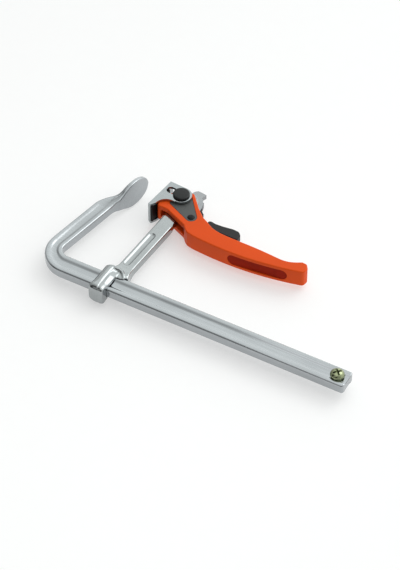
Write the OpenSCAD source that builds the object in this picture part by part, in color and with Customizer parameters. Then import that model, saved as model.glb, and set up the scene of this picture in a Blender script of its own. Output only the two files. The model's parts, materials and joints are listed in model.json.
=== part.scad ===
// Quick release bar clamp: a fixed arm forged on a grooved rail, and a sliding arm that carries
// a lever handle with a cam nose, a channel jaw, a ratchet sector and a release lever.
// It lies on its side: +X along the rail to its free end, +Y from the rail to the jaws, +Z up.

/* [Rail] */
// Width of the rail
rail_w = 25; // [22:0.5:30]
// Thickness of the rail
rail_t = 12; // [10:0.5:13]
// Length of the straight rail, from the bend to the free end
rail_len = 355; // [280:5:500]
// Depth of the grooves along both wide faces
groove_d = 1.6; // [0.5:0.1:2.5]
// Width of the flat rims beside each groove
groove_rim = 6.2; // [4:0.1:8]
// Outer radius of the bend
bend_r_out = 37; // [33:0.5:45]
// Inner radius of the bend
bend_r_in = 12; // [8:0.5:18]
// Chamfer on the corners of the free end
rail_end_c = 2; // [0.5:0.5:5]

/* [Fixed arm and pad] */
// Lean of the fixed arm towards the jaw, degrees
arm_lean = 9.6; // [4:0.1:12]
// Width of the fixed arm
arm_w = 20; // [17:0.5:24]
// Length of the straight part of the fixed arm
arm_len = 86; // [70:1:88]
// Distance from the bend to the middle of the pad, along the arm
pad_s = 119; // [115:0.5:124]
// Half length of the pad
pad_half_len = 23; // [20:0.5:26]
// Half height of the pad
pad_half_h = 17.2; // [15:0.2:20]
// Thickness of the pad
pad_t = 5; // [4:0.1:8]
// How far the pad face stands in front of the arm's inner edge
pad_proud = 2; // [0.5:0.1:4]

/* [Stop screw] */
// Thread diameter of the stop screw
stop_d = 8; // [6:0.5:10]
// Diameter of its pan head
stop_head_d = 16; // [12:0.5:18]
// Height of its pan head
stop_head_h = 6; // [5:0.1:8]
// Distance from the rail's free end to the screw
stop_inset = 13; // [10:0.5:20]

/* [Sliding arm] */
// Place of the sliding arm along the rail, from the bend to the collar's middle
slide_x = 50.7; // [49:0.1:110]
// Length of the collar along the rail
collar_len = 19; // [16:0.5:26]
// Wall of the collar beside the rail
collar_wall = 9.2; // [7:0.1:12]
// Wall of the collar above and below the rail
collar_cap = 4.7; // [3.5:0.1:7]
// Clearance between collar and rail
collar_gap = 0.3; // [0.2:0.05:0.6]
// Width of the stem
stem_w = 18.5; // [16:0.5:20]
// Thickness of the stem
stem_t = 11; // [10.8:0.1:14]
// Lean of the stem away from the pad, degrees
stem_lean = 2.1; // [1.5:0.1:2.8]
// Depth of the hollow on both faces of the stem
hollow_d = 1.4; // [0.4:0.1:2]
// Thickness of the thinned end that carries the pivot
tongue_t = 9; // [8:0.1:9.6]
// Radius of the eye round the main pin
eye_r = 12.4; // [11:0.1:12.6]

/* [Main pivot] */
// Distance from the rail's middle to the main pin
throat = 154; // [152:0.5:175]
// Offset of the main pin from the collar's middle
pin_dx = 9.7; // [9:0.1:11]
// Diameter of the main pin
pin_d = 12; // [10:0.5:13]
// Diameter of the pin's necks that run in the jaw's slots
neck_d = 9.9; // [9:0.1:9.9]
// Radial running clearance of pins in their bores
run_gap = 0.05; // [0.02:0.01:0.08]
// Wall of the bush in the eye
bush_wall = 2; // [1.2:0.1:3]
// Diameter of the black caps on the pin's ends
cap_d = 19.6; // [17:0.2:21]
// Height of the black caps
cap_h = 3; // [2:0.1:4]

/* [Jaw] */
// Turn of the jaw towards the pad's slant, degrees
jaw_turn = 5.2; // [3:0.1:7]
// Distance from the main pin to the jaw's front face
jaw_front = 23.06; // [22.8:0.02:25]
// Thickness of the jaw's sheet
jaw_t = 3; // [2.5:0.1:3.2]
// Height of the jaw across both legs
jaw_h = 29.7; // [29.5:0.1:34]
// Reach of the jaw's face on the rail side of the pin
jaw_low = 33.5; // [32:0.1:38]
// Reach of the jaw's face on the far side of the pin
jaw_high = 11.8; // [11:0.1:15]
// Radius of the legs round the pin
leg_r = 12.4; // [12.3:0.1:13.5]
// Width of the slots in the legs
slot_w = 10.1; // [10.1:0.05:10.6]
// Length of the slots ahead of the pin, to the middle of their round end
slot_reach = 14.8; // [8:0.1:14.8]
// Thickness of the black liner behind the face
liner_t = 2.2; // [1.5:0.1:2.25]

/* [Cam] */
// Lever arm of the cam: the distance between its line of push and the pin
cam_k = 16.5; // [14:0.5:16.5]
// Turn of the handle from its stored place to fully closed, degrees
close_deg = 18; // [12:1:18]
// Turn of the handle from its stored place to fully open, degrees
open_deg = 14; // [8:1:14]
// Gap between the cam nose and the liner
cam_gap = 0.3; // [0.2:0.05:0.5]

/* [Handle] */
// Width of the handle's slot for the arm and the release lever
fork_gap = 10.6; // [10.6:0.1:11]
// Thickness of the handle's head
head_t = 22.4; // [22:0.1:22.6]
// Thickness of the grip
grip_t = 22; // [20:0.2:22.4]
// Thickness of the steel side plates
plate_t = 1.6; // [1.2:0.1:2]
// Length of the soft inlay in the grip
inlay_len = 72; // [40:1:76]
// Height of the soft inlay
inlay_h = 14; // [10:0.2:16]
// Depth of the inlay's recess
inlay_d = 1.5; // [1:0.1:2.5]

/* [Ratchet and release lever] */
// Radius of the ratchet sector to its tooth tips
ratchet_r = 26; // [25.6:0.1:26]
// Depth of the ratchet teeth
tooth_h = 1; // [0.6:0.1:1.3]
// Angle between two teeth, degrees
tooth_pitch = 3; // [3:0.5:5]
// Thickness of the ratchet sector
ratchet_t = 6; // [4:0.5:6]
// Gap between the pawl, held off, and the ratchet's tooth tips
pawl_gap = 0.35; // [0.3:0.05:0.6]
// Diameter of the release lever's pivot pin
lever_pin_d = 6; // [5:0.5:6.5]
// Diameter of that pin's heads
lever_head_d = 8.7; // [7.5:0.1:9.5]
// Thickness of the release lever's blade
lever_t = 5; // [3:0.5:5]
// Width of the thumb pad on the release lever
thumb_t = 9.4; // [8:0.1:9.8]
// Wire diameter of the release lever's spring
spring_wire = 0.9; // [0.6:0.1:1]

/* [Hidden] */
$fn = 96;
eps = 0.02;
face_gap = 0.05;

// Rail and fixed arm
bend_y = bend_r_out - rail_w / 2;
arm_in_x = arm_w - bend_r_out;
in_c_x = arm_in_x + bend_r_in;
in_c_y = (rail_w / 2 + bend_r_in - bend_y + in_c_x * sin(arm_lean)) / cos(arm_lean);
pad_face_x = arm_in_x + pad_proud;

// Stem
stem_half = stem_w / 2;
stem_foot_x = 9;
tongue_relief = 10.5;
collar_half_y = rail_w / 2 + collar_gap + collar_wall;
collar_half_z = rail_t / 2 + collar_gap + collar_cap;

// Main pivot, counted from the pin's middle height
bush_r = pin_d / 2 + run_gap + bush_wall;
leg_in = jaw_h / 2 - jaw_t;
pin_shoulder = head_t / 2 + 0.3;
cap_seat = jaw_h / 2 + 0.15;

// Cam, in the jaw's own directions: ahead of the pin and along the face
cam_rest = jaw_front - jaw_t - face_gap - liner_t - cam_gap;
cam_lift = cam_k * close_deg * PI / 180;
slot_back = cam_lift + neck_d / 2 - slot_w / 2 + 0.15;

// Head of the handle, counted from the pin
rivet = [26.3, -23.5];
// Edge of the head towards the rail, then the step into the grip
head_near = [[-5, -24.6], [24.4, -37.8]];
step_in = [[29.5, -43.2], [34.1, -46.9]];
near_r = 365;
near_c = [85, near_r - 51.2];
grip_end = 172;
web_left = -13.4;
plate_seat = head_t / 2 - 0.2 - plate_t;
plate_gap = 0.4;
inlay_x = 125;

// Place of the whole: the origin lies under the middle of its box
bend_left = -bend_r_out;
spur_top = 26.4;
x_mid = (bend_left + rail_len) / 2;
y_mid = (throat + spur_top - collar_half_y) / 2;
z_low = cap_seat + cap_h;

// ---- Helpers ----

function turn(a, p) = [p[0] * cos(a) - p[1] * sin(a), p[0] * sin(a) + p[1] * cos(a)];
function polar(r, a) = [r * cos(a), r * sin(a)];
function arc(c, r, a0, a1, n) = [for (i = [0:n]) c + polar(r, a0 + (a1 - a0) * i / n)];

// A point given ahead of the pin and along the jaw's face, counted from the pin
function jaw_xy(ahead, along) = turn(-jaw_turn, [-ahead, along]);

// Cubic curve from p[0] to p[3] with handles p[1] and p[2]
function curve(p, n) = [
    for (i = [0:n - 1])
        let (t = i / n, u = 1 - t)
            u * u * u * p[0] + 3 * u * u * t * p[1] + 3 * u * t * t * p[2] + t * t * t * p[3]
];

module in_frame() translate([-x_mid, -y_mid, z_low]) children();
module at_collar() in_frame() translate([slide_x, 0, 0]) children();
module at_pin() at_collar() translate([pin_dx, throat, 0]) children();

// The jaw's own directions: +X ahead to the pad, +Y along the face away from the rail
module jaw_frame() at_pin() rotate(-jaw_turn) mirror([1, 0, 0]) children();

module slab(t) linear_extrude(height = t, center = true) children();
module both_faces(z) for (s = [0, 1]) mirror([0, 0, s]) translate([0, 0, z]) children();
module ring(r_in, r_out, h) difference() {
    cylinder(r = r_out, h = h);
    translate([0, 0, -1]) cylinder(r = r_in, h = h + 2);
}

// ---- Rail with its fixed arm ----

function arm_point(p) = [0, bend_y] + turn(-arm_lean, p);

// Outline of rail, bend and arm, drawn in by `inset` on every side, with a chamfer `c` at its end
module rail_plan(inset, arm_end, end_x, c) {
    half = rail_w / 2 - inset;
    polygon(concat(
        [[end_x - c, -half], [end_x, c - half], [end_x, half - c], [end_x - c, half]],
        arc(arm_point([in_c_x, in_c_y]), bend_r_in + inset, 270, 180 - arm_lean, 12),
        [arm_point([arm_in_x - inset, arm_end]), arm_point([inset - bend_r_out, arm_end])],
        arc([0, bend_y], bend_r_out - inset, 180 - arm_lean, 270, 24)
    ));
}

// A thin block across the arm, for the taper into the pad
module arm_slice(x0, x1, y, half_z)
    translate([0, bend_y, 0]) rotate(-arm_lean) translate([x0, y, -half_z]) cube([x1 - x0, 0.5, 2 * half_z]);

module pad() translate([0, bend_y, 0]) rotate(-arm_lean)
    translate([pad_face_x, pad_s, 0]) rotate([0, -90, 0]) linear_extrude(height = pad_t)
        polygon([for (a = [0:5:355]) [pad_half_h * cos(a), pad_half_len * sin(a)]]);

module rail() {
    neck_s = pad_s - pad_half_len - 2;
    neck_half_h = pad_half_h / 2;
    root_s = pad_s - pad_half_len + 7;
    color([0.68, 0.70, 0.73]) in_frame() difference() {
        union() {
            slab(rail_t) rail_plan(0, arm_len, rail_len, rail_end_c);
            hull() {
                arm_slice(eps - bend_r_out, arm_in_x - eps, arm_len - 1, rail_t / 2 - eps);
                arm_slice(pad_face_x - 11.5, pad_face_x - 0.5, neck_s, neck_half_h);
            }
            hull() {
                arm_slice(pad_face_x - 11.4, pad_face_x - 0.6, neck_s - 0.2, neck_half_h - 0.1);
                arm_slice(pad_face_x - pad_t - 1, pad_face_x - eps, root_s, pad_half_h * 0.72);
            }
            pad();
        }
        both_faces(rail_t / 2 - groove_d) linear_extrude(height = groove_d + 1)
            rail_plan(groove_rim, arm_len + 4, rail_len + 1, 0);
        translate([rail_len - stop_inset, 0, -rail_t]) cylinder(d = stop_d + 2 * face_gap, h = 2 * rail_t);
    }
}

module stop_screw() {
    seat = rail_t / 2 - groove_d + face_gap;
    neck_h = groove_d + face_gap;
    color([0.62, 0.66, 0.42]) in_frame() translate([rail_len - stop_inset, 0, 0]) difference() {
        union() {
            translate([0, 0, -rail_t / 2 + 0.5]) cylinder(d = stop_d, h = rail_t);
            translate([0, 0, seat]) cylinder(d = min(stop_head_d - 2, rail_w - 2 * groove_rim - 1), h = neck_h);
            translate([0, 0, rail_t / 2 + face_gap]) cylinder(d = stop_head_d, h = stop_head_h * 0.55);
            translate([0, 0, rail_t / 2 + face_gap + stop_head_h * 0.55])
                cylinder(d1 = stop_head_d, d2 = stop_head_d * 0.62, h = stop_head_h * 0.45);
        }
        for (a = [45, 135]) rotate(a) translate([0, 0, rail_t / 2 + stop_head_h])
            cube([stop_head_d * 0.5, 1.6, 4.4], center = true);
    }
}

// ---- Sliding arm ----

module rounded_block(len, half_y, half_z, r, x0) translate([x0, 0, 0]) rotate([90, 0, 90])
    linear_extrude(height = len) {
        square([2 * (half_y - r), 2 * half_z], center = true);
        square([2 * half_y, 2 * (half_z - r)], center = true);
        for (y = [-1, 1], z = [-1, 1]) translate([y * (half_y - r), z * (half_z - r)]) circle(r = r);
    }

// The stem steps down to the tongue along the closed handle's edge, plus a clearance
at_pivot = [pin_dx, throat];
step_left = at_pivot + turn(-close_deg, head_near[0]) - [0, 0.6];
step_right = at_pivot + turn(-close_deg, head_near[1]) - [0.4, 0.6];
step_low = at_pivot + turn(-close_deg, step_in[0]) - [0.6, 0.6];
function y_on(p, q, x) = p[1] + (q[1] - p[1]) * (x - p[0]) / (q[0] - p[0]);
function stem_x(y) = stem_foot_x + (y - rail_w / 2) * tan(stem_lean);

module stem_plan() {
    y0 = rail_w / 2 + collar_gap;
    x_left = stem_x(throat - 28) - stem_half;
    x_right = stem_x(throat - 42) + stem_half;
    polygon([[stem_x(y0) - stem_half, y0], [stem_x(y0) + stem_half, y0],
        [x_right, y_on(step_right, step_low, x_right)], step_right,
        [x_left, y_on(step_left, step_right, x_left)]]);
}

module tongue_plan() {
    x_left = stem_x(throat - 28) - stem_half;
    x_right = stem_x(throat - 50) + stem_half;
    polygon([[x_left - 0.8, throat - 52], [x_right, throat - 52], [x_right, throat - 41],
        [pin_dx + tongue_relief, throat - 37], [pin_dx + tongue_relief - 1, throat - 6],
        [pin_dx, throat], [pin_dx - eye_r, throat], [pin_dx - eye_r + 1.4, throat - 6],
        [x_left, throat - 17]]);
    translate([pin_dx, throat]) circle(r = eye_r);
    translate([pin_dx, throat]) intersection() {
        circle(r = ratchet_r - 6.5);
        polygon([[0, 0], polar(40, -24), polar(40, 20), polar(40, 62)]);
    }
}

module hollow() {
    y0 = rail_w / 2 + 25;
    len = throat - 121;
    translate([stem_x(y0) - 2.5, y0, 0]) rotate(-stem_lean) {
        translate([0, len / 2, 0]) cube([stem_w / 2, len, 2 * hollow_d], center = true);
        for (y = [0, len]) translate([0, y, -hollow_d]) cylinder(d = stem_w / 2, h = 2 * hollow_d);
    }
}

// Slot in the eye's ear that takes the ratchet sector
module sector_slot(gap) rotate(-30) linear_extrude(height = ratchet_t + 2 * gap, center = true) difference() {
    circle(r = 60);
    circle(r = 13.5 - gap);
    rotate(18) polygon([[0, 0], polar(120, 80), [-120, 120], [-120, -120], polar(120, -24)]);
}

module rivet_places() for (a = [12, 46]) translate(polar(16.6, a)) children();

module sliding_arm() {
    color([0.68, 0.70, 0.72]) at_collar() difference() {
        union() {
            rounded_block(collar_len, collar_half_y - 1.8, collar_half_z - 1.2, 6, -collar_len / 2);
            rounded_block(collar_len * 0.5, collar_half_y, collar_half_z, 7, -collar_len * 0.36);
            slab(stem_t) stem_plan();
            slab(tongue_t) tongue_plan();
        }
        cube([4 * collar_len, rail_w + 2 * collar_gap, rail_t + 2 * collar_gap], center = true);
        translate([0, -rail_w - collar_half_y, 0]) cube([200, 2 * rail_w, 100], center = true);
        both_faces(stem_t / 2) hollow();
        translate([pin_dx, throat, 0]) {
            translate([0, 0, -20]) cylinder(r = bush_r + face_gap, h = 40);
            sector_slot(face_gap);
            rivet_places() translate([0, 0, -20]) cylinder(d = 4 + 2 * face_gap, h = 40);
        }
    }
}

module pivot_bush() color([0.72, 0.58, 0.30]) at_pin() translate([0, 0, -tongue_t / 2])
    ring(pin_d / 2 + run_gap, bush_r, tongue_t);

module thrust_washers() color([0.72, 0.58, 0.30]) at_pin() both_faces(tongue_t / 2 + face_gap)
    ring(pin_d / 2 + run_gap, eye_r - 0.6, (fork_gap - tongue_t) / 2 - 3 * face_gap);

// Ratchet sector: teeth on its rim, and a hooked spur at its far end
module ratchet_sector() {
    first = -30;
    count = 20;
    last = first + count * tooth_pitch;
    color([0.74, 0.75, 0.76]) at_pin() slab(ratchet_t) difference() {
        polygon(concat(
            [polar(13.6, first)],
            [for (i = [0:count - 1], e = [0, 1])
                let (a = first + i * tooth_pitch)
                    e == 0 ? polar(ratchet_r - tooth_h, a) : polar(ratchet_r, a + 0.4)],
            [for (a = [last:3:43]) polar(ratchet_r - 1, a)],
            [[16.2, 17.4], [19.1, 24.9], [13, 26], [7.8, spur_top], [4.6, 23.6], [3.2, 20.3]],
            [for (a = [77:-7:first]) polar(13.6, a)]
        ));
        rivet_places() circle(d = 4 + 2 * face_gap);
    }
}

module ratchet_rivets() color([0.6, 0.61, 0.62]) at_pin() rivet_places()
    translate([0, 0, -tongue_t / 2]) cylinder(d = 4, h = tongue_t);

// ---- Main pin ----

module main_pin() color([0.30, 0.30, 0.32]) at_pin() union() {
    translate([0, 0, -pin_shoulder]) cylinder(d = pin_d, h = 2 * pin_shoulder);
    translate([0, 0, -cap_seat]) cylinder(d = neck_d, h = 2 * cap_seat);
    translate([0, 0, -cap_seat - cap_h * 0.5]) cylinder(d = neck_d * 0.6, h = 2 * cap_seat + cap_h);
}

module pin_cap() translate([0, 0, cap_seat + eps]) difference() {
    union() {
        cylinder(d = cap_d, h = cap_h * 0.6);
        translate([0, 0, cap_h * 0.6]) cylinder(d1 = cap_d, d2 = cap_d - 3, h = cap_h * 0.4 - eps);
    }
    translate([0, 0, -1]) cylinder(d = neck_d * 0.6 + 2 * eps, h = 1 + cap_h * 0.5 + eps);
}

module pin_cap_top() color([0.10, 0.10, 0.11]) at_pin() pin_cap();
module pin_cap_bottom() color([0.10, 0.10, 0.11]) at_pin() mirror([0, 0, 1]) pin_cap();

// ---- Jaw ----

// Plan of the legs: straight along the face, hollowed on the rail side, round at the pin
module leg_plan() difference() {
    union() {
        circle(r = leg_r);
        polygon([[jaw_front, -jaw_low], [jaw_front, jaw_high], [0, leg_r], [0, -leg_r - 0.9],
            [3, -leg_r - 0.9], [3, -27], [16.7, -27], [19.8, -jaw_low]]);
    }
    translate([3, -27]) circle(r = 27 - leg_r - 0.9);
}

module slot_plan() {
    translate([slot_reach, 0]) circle(d = slot_w);
    translate([-slot_back, 0]) circle(d = slot_w);
    translate([-slot_back, -slot_w / 2]) square([slot_reach + slot_back, slot_w]);
}

// Section of the bent sheet, ahead of the pin by height: sharp bend on top, round one below
module sheet_section() {
    half = jaw_h / 2;
    low_r = 4;
    difference() {
        union() {
            translate([-leg_r - 1, -half + low_r]) square([jaw_front + leg_r + 1, jaw_h - low_r]);
            translate([-leg_r - 1, -half]) square([jaw_front + leg_r + 1 - low_r, jaw_h / 2]);
            translate([jaw_front - low_r, -half + low_r]) circle(r = low_r);
        }
        translate([-leg_r - 2, -leg_in]) square([jaw_front - jaw_t + leg_r + 2, 2 * leg_in]);
    }
}

module jaw() color([0.72, 0.74, 0.76]) jaw_frame() difference() {
    intersection() {
        slab(jaw_h + 2) leg_plan();
        translate([0, jaw_high + 2, 0]) rotate([90, 0, 0]) linear_extrude(height = jaw_low + jaw_high + 4)
            sheet_section();
    }
    slab(jaw_h + 4) slot_plan();
}

module jaw_liner() {
    back = jaw_front - jaw_t - face_gap - liner_t;
    half_z = leg_in - 0.3;
    color([0.06, 0.06, 0.065]) jaw_frame() translate([back, -jaw_low + 0.6, -half_z])
        cube([liner_t, jaw_low + 2, 2 * half_z]);
}

// ---- Handle ----

function near_y(x) = near_c[1] - sqrt(near_r * near_r - (x - near_c[0]) * (x - near_c[0]));

// Cam face: a constant lift for each degree, so its push stays cam_k from the pin
cam_face = [for (a = [-open_deg:2:close_deg])
    turn(a, jaw_xy(cam_rest + cam_k * a * PI / 180, -cam_k))];
open_ahead = cam_rest - cam_k * open_deg * PI / 180;
cam_flat = turn(-open_deg, jaw_xy(open_ahead, -4));
nose = cam_face[len(cam_face) - 1];

back_edge = concat(
    curve([[171.5, -24.2], [166, -27.2], [160, -32.8], [146, -32.2]], 6),
    curve([[146, -32.2], [125, -30.4], [112, -29.8], [100, -29.8]], 4),
    curve([[100, -29.8], [80, -29.6], [66, -30.6], [53.9, -25.2]], 6),
    [[53.9, -25.2], [46, -20.4], [38, -16.2], [27, -6.4], [10.6, 12.4], [9.4, 12.6]]
);

module handle_outline() {
    circle(r = 13);
    polygon(concat(
        cam_face,
        [nose + [0.5, -1.8], nose + [2, -3.1], nose + [5, -3.4]],
        head_near, step_in,
        [for (x = [40:12:grip_end]) [x, near_y(x)]],
        [[177, near_y(177)], [179.6, -35.5], [180.4, -32], [179, -27.6], [176, -25.2]],
        back_edge,
        [[0, 12.9], cam_flat]
    ));
}

// Room between the cheeks for the arm's tongue, the ratchet sector and the release lever
module fork_plan() polygon([
    [web_left, -80], [28.2, -80], [28.2, -46], [25.4, -37], [24, -33], [46, -32.5], [88, -38],
    [92, -36], [92, 10], [60, 60], [-60, 60], [-60, -4.5], [web_left, -9]
]);

// Side plate: round at the main pin and at the lever's pin, wider on the rail side
module plate_plan(gap) {
    big = 12 + gap;
    small = 6.5 + gap;
    far = atan2(rivet[1], rivet[0]) + acos((big - small) / norm(rivet));
    polygon(concat(
        arc([0, 0], big, far, 200, 20),
        [[-6.4 - gap, -15.2 - gap]],
        arc(rivet, small, 243, 360 + far, 20)
    ));
}

// Rounded bar across the grip's near side; `grow` widens it to the recess
module inlay_shape(grow) {
    h = inlay_h + 2 * grow;
    len = inlay_len + 2 * grow;
    intersection() {
        linear_extrude(height = h, center = true) difference() {
            translate([near_c[0], near_c[1]]) circle(r = near_r + 1, $fn = 360);
            translate([near_c[0], near_c[1]]) circle(r = near_r - inlay_d - grow, $fn = 360);
            translate([-near_r, 0]) square([3 * near_r, 3 * near_r]);
        }
        translate([inlay_x, 0, 0]) rotate([90, 0, 0]) linear_extrude(height = 90) {
            square([len - h, h], center = true);
            for (s = [-1, 1]) translate([s * (len - h) / 2, 0]) circle(d = h);
        }
    }
}

module handle_body() color([0.90, 0.36, 0.13]) at_pin() difference() {
    intersection() {
        slab(head_t) handle_outline();
        union() {
            translate([-50, -100, -head_t / 2]) cube([96, 200, head_t]);
            translate([-50, -100, -grip_t / 2]) cube([300, 200, grip_t]);
        }
    }
    slab(fork_gap) fork_plan();
    both_faces(plate_seat) linear_extrude(height = head_t) plate_plan(plate_gap);
    translate([0, 0, -40]) cylinder(d = pin_d + 2 * run_gap, h = 80);
    translate([rivet[0], rivet[1], -40]) cylinder(d = lever_pin_d + 2 * run_gap, h = 80);
    inlay_shape(face_gap);
}

module side_plate() translate([0, 0, plate_seat]) difference() {
    linear_extrude(height = plate_t) plate_plan(0);
    translate([0, 0, -1]) cylinder(d = pin_d + 2 * run_gap, h = plate_t + 2);
    translate([rivet[0], rivet[1], -1]) cylinder(d = lever_pin_d + 2 * run_gap, h = plate_t + 2);
}

module side_plate_top() color([0.42, 0.42, 0.41]) at_pin() side_plate();
module side_plate_bottom() color([0.42, 0.42, 0.41]) at_pin() mirror([0, 0, 1]) side_plate();

module grip_inlay() color([0.45, 0.10, 0.05]) at_pin() intersection() {
    inlay_shape(0);
    slab(grip_t) translate([near_c[0], near_c[1]]) circle(r = near_r - 0.3, $fn = 360);
}

// ---- Release lever ----

module lever_pin() color([0.10, 0.10, 0.11]) at_pin() translate([rivet[0], rivet[1], 0]) {
    head_z = plate_seat + plate_t + eps;
    translate([0, 0, -head_z - 0.4]) cylinder(d = lever_pin_d, h = 2 * head_z + 0.8);
    both_faces(head_z) {
        cylinder(d = lever_head_d, h = 0.8);
        translate([0, 0, 0.8]) cylinder(d1 = lever_head_d, d2 = lever_head_d * 0.7, h = 0.7);
    }
}

pawl_tip_r = ratchet_r + pawl_gap;

// Blade of the release lever: pawl teeth by the ratchet, a boss on the pivot, an arm to the pad
module blade_plan(gap) {
    difference() {
        polygon(concat(
            [[31.8, -4.4], [27.6, -0.6]],
            [for (i = [0:2], e = [0, 1])
                let (a = -1.6 - i * tooth_pitch)
                    e == 0 ? polar(pawl_tip_r, a) : polar(pawl_tip_r + tooth_h, a - tooth_pitch + 0.4)],
            [polar(pawl_tip_r + 1, -11.5), polar(pawl_tip_r + 1.2, -26)],
            arc(rivet, 5, 157, 290, 12),
            [rivet + [8, -4.6], [45, -23.6 - gap], [76 + gap, -20.6 - gap], [76 + gap, -15.4 + gap],
                [45, -17.6 + gap], [38, -19.6 + gap], [32.4, -19], [33.2, -15], [33.9, -9]]
        ));
        translate(rivet) circle(d = lever_pin_d + 2 * run_gap);
    }
}

module release_lever() color([0.12, 0.12, 0.13]) at_pin() slab(lever_t) blade_plan(0);

thumb_outline = concat(
    [[42.8, -16.8], [43, -14.2]],
    curve([[43.6, -12.8], [45.6, -10.6], [50, -12.6], [58, -12.3]], 4),
    curve([[58, -12.3], [66, -12], [74, -9.6], [80, -10.8]], 4),
    curve([[80, -10.8], [85, -12], [86.6, -17], [86.2, -23.8]], 4),
    [[86.2, -23.8], [82, -24.6], [60, -24.2], [46, -21.6]]
);

module thumb_pad() color([0.13, 0.14, 0.15]) at_pin() difference() {
    slab(thumb_t) polygon(thumb_outline);
    slab(lever_t + 2 * face_gap) intersection() {
        blade_plan(face_gap);
        translate([40, -60]) square([60, 60]);
    }
}

// Torsion spring beside the blade: two touching coils, one leg on the blade, one on the web
module lever_spring() {
    coil_r = lever_pin_d / 2 + 0.4 + spring_wire / 2;
    z0 = lever_t / 2 + 0.3 + spring_wire / 2;
    color([0.55, 0.56, 0.58]) at_pin() translate([rivet[0], rivet[1], z0]) union() {
        for (i = [0, 1]) translate([0, 0, i * (spring_wire + eps)]) rotate_extrude()
            translate([coil_r, 0]) circle(d = spring_wire);
        translate([-coil_r, 0, 0]) cylinder(d = spring_wire * 0.8, h = spring_wire + eps);
        translate([0, -coil_r, 0]) rotate([0, 90, 0]) cylinder(d = spring_wire * 0.9, h = 13);
        translate([0, coil_r, spring_wire + eps]) rotate([0, 90, 0]) cylinder(d = spring_wire * 0.9, h = 11);
    }
}

rail();
stop_screw();
sliding_arm();
pivot_bush();
thrust_washers();
ratchet_sector();
ratchet_rivets();
main_pin();
pin_cap_top();
pin_cap_bottom();
jaw();
jaw_liner();
handle_body();
side_plate_top();
side_plate_bottom();
grip_inlay();
lever_pin();
lever_spring();
release_lever();
thumb_pad();
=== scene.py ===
import json
import math

import bmesh
import bpy
from bpy.props import FloatProperty, FloatVectorProperty, PointerProperty
from bpy.types import Operator, Panel, PropertyGroup
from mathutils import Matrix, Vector


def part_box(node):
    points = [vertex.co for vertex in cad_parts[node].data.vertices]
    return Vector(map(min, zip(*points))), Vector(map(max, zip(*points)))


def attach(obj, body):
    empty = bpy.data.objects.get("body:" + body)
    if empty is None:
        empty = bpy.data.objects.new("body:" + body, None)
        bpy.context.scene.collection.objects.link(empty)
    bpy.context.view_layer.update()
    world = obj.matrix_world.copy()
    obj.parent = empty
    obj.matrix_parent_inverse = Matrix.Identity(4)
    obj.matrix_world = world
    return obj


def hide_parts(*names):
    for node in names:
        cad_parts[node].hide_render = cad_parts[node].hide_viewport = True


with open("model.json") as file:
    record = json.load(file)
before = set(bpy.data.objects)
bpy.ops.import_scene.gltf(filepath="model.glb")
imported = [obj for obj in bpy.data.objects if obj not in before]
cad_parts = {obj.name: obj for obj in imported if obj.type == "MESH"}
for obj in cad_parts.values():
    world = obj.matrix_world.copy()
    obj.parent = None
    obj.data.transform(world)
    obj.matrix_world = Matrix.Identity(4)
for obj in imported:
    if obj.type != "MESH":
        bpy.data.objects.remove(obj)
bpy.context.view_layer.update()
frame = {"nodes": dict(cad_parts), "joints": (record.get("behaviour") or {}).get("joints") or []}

bl_info = {
    "name": "Quick release bar clamp",
    "version": (1, 0, 0),
    "blender": (4, 5, 0),
    "location": "3D View > Sidebar > Clamp",
    "description": "Builds the pieces, finishes and stage of a quick release bar clamp",
    "category": "Object",
}

MM = 0.001
RAIL_LOW, RAIL_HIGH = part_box("rail")
JOINT_AT = {joint["name"]: Vector(joint["pos_m"]) for joint in frame["joints"]}

# Rail's section and its bend, in millimetres
HALF_WIDE = 12.5
HALF_THICK = 6.0
BEND_OUTER = 37.0
BEND_INNER = 12.0

# Places that the pieces are measured from: the start of the bend, the collar and the two pivots
BEND = Vector((RAIL_LOW.x + BEND_OUTER * MM, RAIL_LOW.y + HALF_WIDE * MM, (RAIL_LOW.z + RAIL_HIGH.z) / 2))
COLLAR = BEND + Vector((50.7 * MM, 0, 0))
PIN = JOINT_AT["handle_pivot"]
RIVET = JOINT_AT["trigger_pivot"]

# Angles in degrees: the two arms and the jaw as they stand, and the handle's turn each way
ARM_LEAN = 9.6
STEM_LEAN = 2.1
JAW_TURN = 5.2
CLOSE = 18.0
OPEN = 14.0


# ---- Plan geometry, in millimetres ----

def turn(angle, point):
    """A plan point turned about the origin by an angle in degrees."""
    c, s = math.cos(math.radians(angle)), math.sin(math.radians(angle))
    return (point[0] * c - point[1] * s, point[0] * s + point[1] * c)


def arc(centre, radius, start, end, count):
    """Points along an arc, both ends included."""
    steps = [math.radians(start + (end - start) * i / count) for i in range(count + 1)]
    return [(centre[0] + radius * math.cos(a), centre[1] + radius * math.sin(a)) for a in steps]


def curve(p, count):
    """Points along a cubic curve, without its last one."""
    points = []
    for i in range(count):
        t = i / count
        u = 1 - t
        k = (u * u * u, 3 * u * u * t, 3 * u * t * t, t * t * t)
        points.append(tuple(sum(k[j] * p[j][axis] for j in range(4)) for axis in (0, 1)))
    return points


def smoothstep(t):
    """A soft step from 0 to 1."""
    t = min(1.0, max(0.0, t))
    return t * t * (3 - 2 * t)


def table(rows, at):
    """Values at a place, read between the rows of a (place, value, ...) table."""
    for low, high in zip(rows, rows[1:]):
        if at <= high[0]:
            t = (at - low[0]) / (high[0] - low[0])
            return tuple(a + (b - a) * t for a, b in zip(low[1:], high[1:]))
    return rows[-1][1:]


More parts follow.
